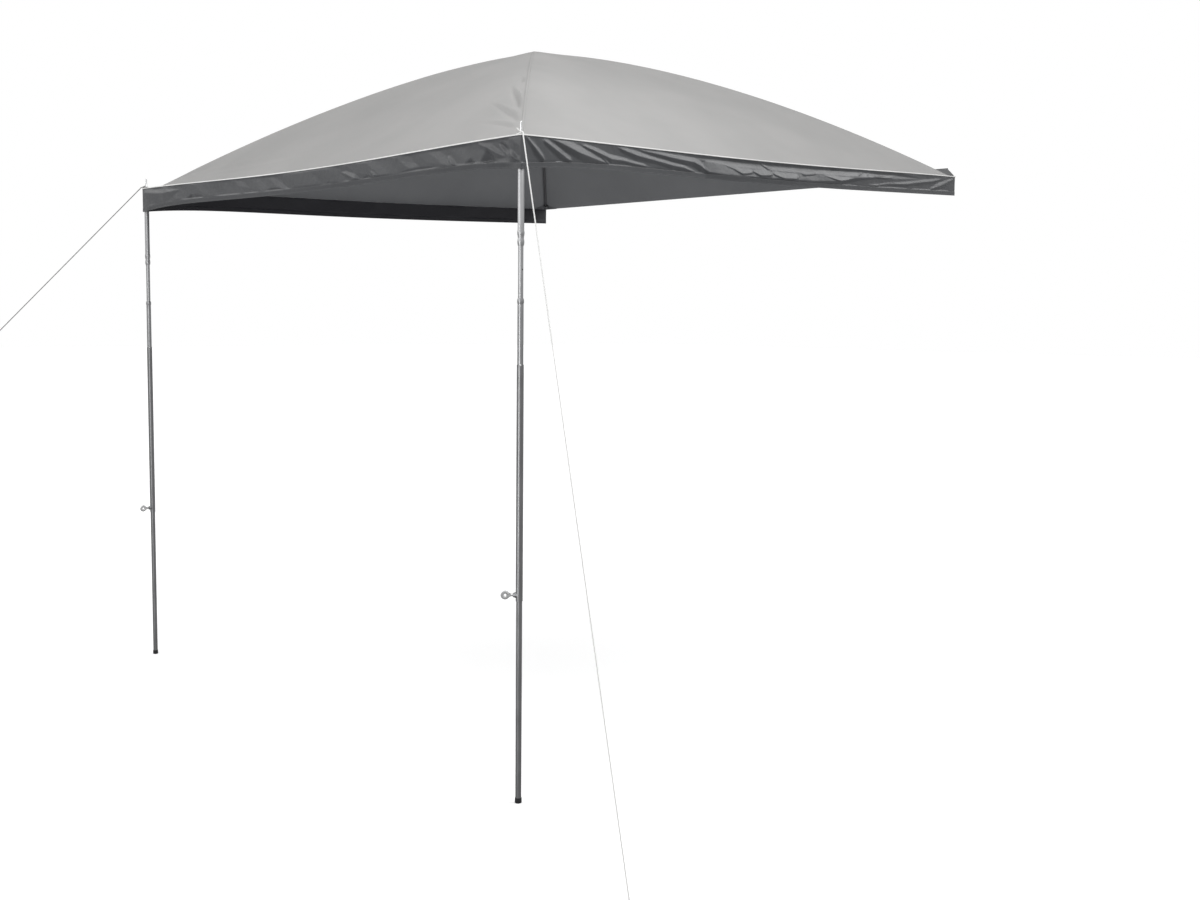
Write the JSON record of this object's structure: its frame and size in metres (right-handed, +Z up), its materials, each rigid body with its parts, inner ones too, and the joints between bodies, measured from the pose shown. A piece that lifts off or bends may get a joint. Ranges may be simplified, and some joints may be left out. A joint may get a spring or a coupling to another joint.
{
  "type": "van awning",
  "caption": "Domed fabric sun canopy with crossed roof rods, a hanging valance, a rail welt, telescopic steel poles and guy ropes, for the side of a van.",
  "frame": {"origin": "bottom centre of the bounding box without the guy ropes, on the ground between the poles and the rail", "axes": "+X along the rail, +Y from the poles to the rail, +Z up"},
  "size_m": [4.2745, 2.9807, 2.6306],
  "materials": {
    "roof_fabric": "coated light grey polyester",
    "dark_fabric": "dark grey polyester, slightly shiny",
    "white_piping": "woven white piping",
    "rope": "braided white rope",
    "black_plastic": "satin black",
    "black_rubber": "matt black",
    "dark_rod": "black pultruded glass fibre",
    "tube_steel": "bare zinc-plated tube",
    "bright_steel": "bright plated steel"
  },
  "bodies": {
    "canopy": {"roof_panel_front": "roof_fabric", "roof_panel_right": "roof_fabric", "roof_panel_rear": "roof_fabric", "roof_panel_left": "roof_fabric", "apex_patch": "roof_fabric", "valance_front": "dark_fabric", "valance_left": "dark_fabric", "valance_right": "dark_fabric", "edge_piping": "white_piping", "rail_strip": "dark_fabric", "rail_welt": "black_plastic", "corner_patch_a": "dark_fabric", "corner_patch_b": "dark_fabric", "corner_patch_c": "dark_fabric", "corner_patch_d": "dark_fabric", "grommet_a": "tube_steel", "grommet_b": "tube_steel", "rod_ac_1": "dark_rod", "rod_ac_2": "dark_rod", "rod_ac_3": "dark_rod", "rod_bd_1": "dark_rod", "rod_bd_2": "dark_rod", "rod_bd_3": "dark_rod", "ferrule_ac_1": "tube_steel", "ferrule_ac_2": "tube_steel", "ferrule_bd_1": "tube_steel", "ferrule_bd_2": "tube_steel", "rod_tip_a": "black_rubber", "rod_tip_b": "black_rubber", "rod_tip_c": "black_rubber", "rod_tip_d": "black_rubber", "crossing_tie": "dark_fabric", "guy_knot_a": "rope", "guy_rope_a": "rope", "guy_eye_a": "rope", "guy_knot_b": "rope", "guy_rope_b": "rope", "guy_eye_b": "rope"},
    "pole_a_top": {"spike_plug_a": "tube_steel", "upper_tube_a": "bright_steel", "neck_tube_a": "tube_steel", "inner_tube_a": "tube_steel", "leaf_spring_a": "tube_steel"},
    "pole_a_mid": {"mid_tube_a": "tube_steel"},
    "pole_a_foot": {"lower_tube_a": "tube_steel", "foot_cap_a": "black_plastic"},
    "button_a": {"snap_button_a": "bright_steel"},
    "screw_a": {"eye_screw_a": "bright_steel"},
    "pole_b_top": {"spike_plug_b": "tube_steel", "upper_tube_b": "bright_steel", "neck_tube_b": "tube_steel", "inner_tube_b": "tube_steel", "leaf_spring_b": "tube_steel"},
    "pole_b_mid": {"mid_tube_b": "tube_steel"},
    "pole_b_foot": {"lower_tube_b": "tube_steel", "foot_cap_b": "black_plastic"},
    "button_b": {"snap_button_b": "bright_steel"},
    "screw_b": {"eye_screw_b": "bright_steel"}
  },
  "joints": [
    {"name": "pole_a_swing", "type": "hinge", "parent": "canopy", "child": "pole_a_top", "pos_m": [-1.288, -1.16287, 2.07], "axis": [1, 0, 0], "range_deg": [0, 10]},
    {"name": "pole_a_part", "type": "slide", "parent": "pole_a_top", "child": "pole_a_mid", "axis": [0, 0, -1], "range_m": [0, 0.12]},
    {"name": "pole_a_height", "type": "slide", "parent": "pole_a_mid", "child": "pole_a_foot", "axis": [0, 0, -1], "range_m": [-0.2, 0.2]},
    {"name": "button_a_press", "type": "slide", "parent": "pole_a_top", "child": "button_a", "axis": [-0.9063, 0.4226, 0], "range_m": [0, 0.0045], "stiffness_N_per_m": 300, "deforming": ["leaf_spring_a"]},
    {"name": "screw_a_turn", "type": "hinge", "parent": "pole_a_mid", "child": "screw_a", "pos_m": [-1.288, -1.16287, 0.664], "axis": [0, -1, 0], "range_deg": [0, 360]},
    {"name": "pole_b_swing", "type": "hinge", "parent": "canopy", "child": "pole_b_top", "pos_m": [1.288, -1.16287, 2.07], "axis": [1, 0, 0], "range_deg": [0, 10]},
    {"name": "pole_b_part", "type": "slide", "parent": "pole_b_top", "child": "pole_b_mid", "axis": [0, 0, -1], "range_m": [0, 0.12]},
    {"name": "pole_b_height", "type": "slide", "parent": "pole_b_mid", "child": "pole_b_foot", "axis": [0, 0, -1], "range_m": [-0.2, 0.2]},
    {"name": "button_b_press", "type": "slide", "parent": "pole_b_top", "child": "button_b", "axis": [-0.7771, 0.6293, 0], "range_m": [0, 0.0045], "stiffness_N_per_m": 300, "deforming": ["leaf_spring_b"]},
    {"name": "screw_b_turn", "type": "hinge", "parent": "pole_b_mid", "child": "screw_b", "pos_m": [1.288, -1.16287, 0.664], "axis": [-0.6691, -0.7431, 0], "range_deg": [0, 360]}
  ]
}
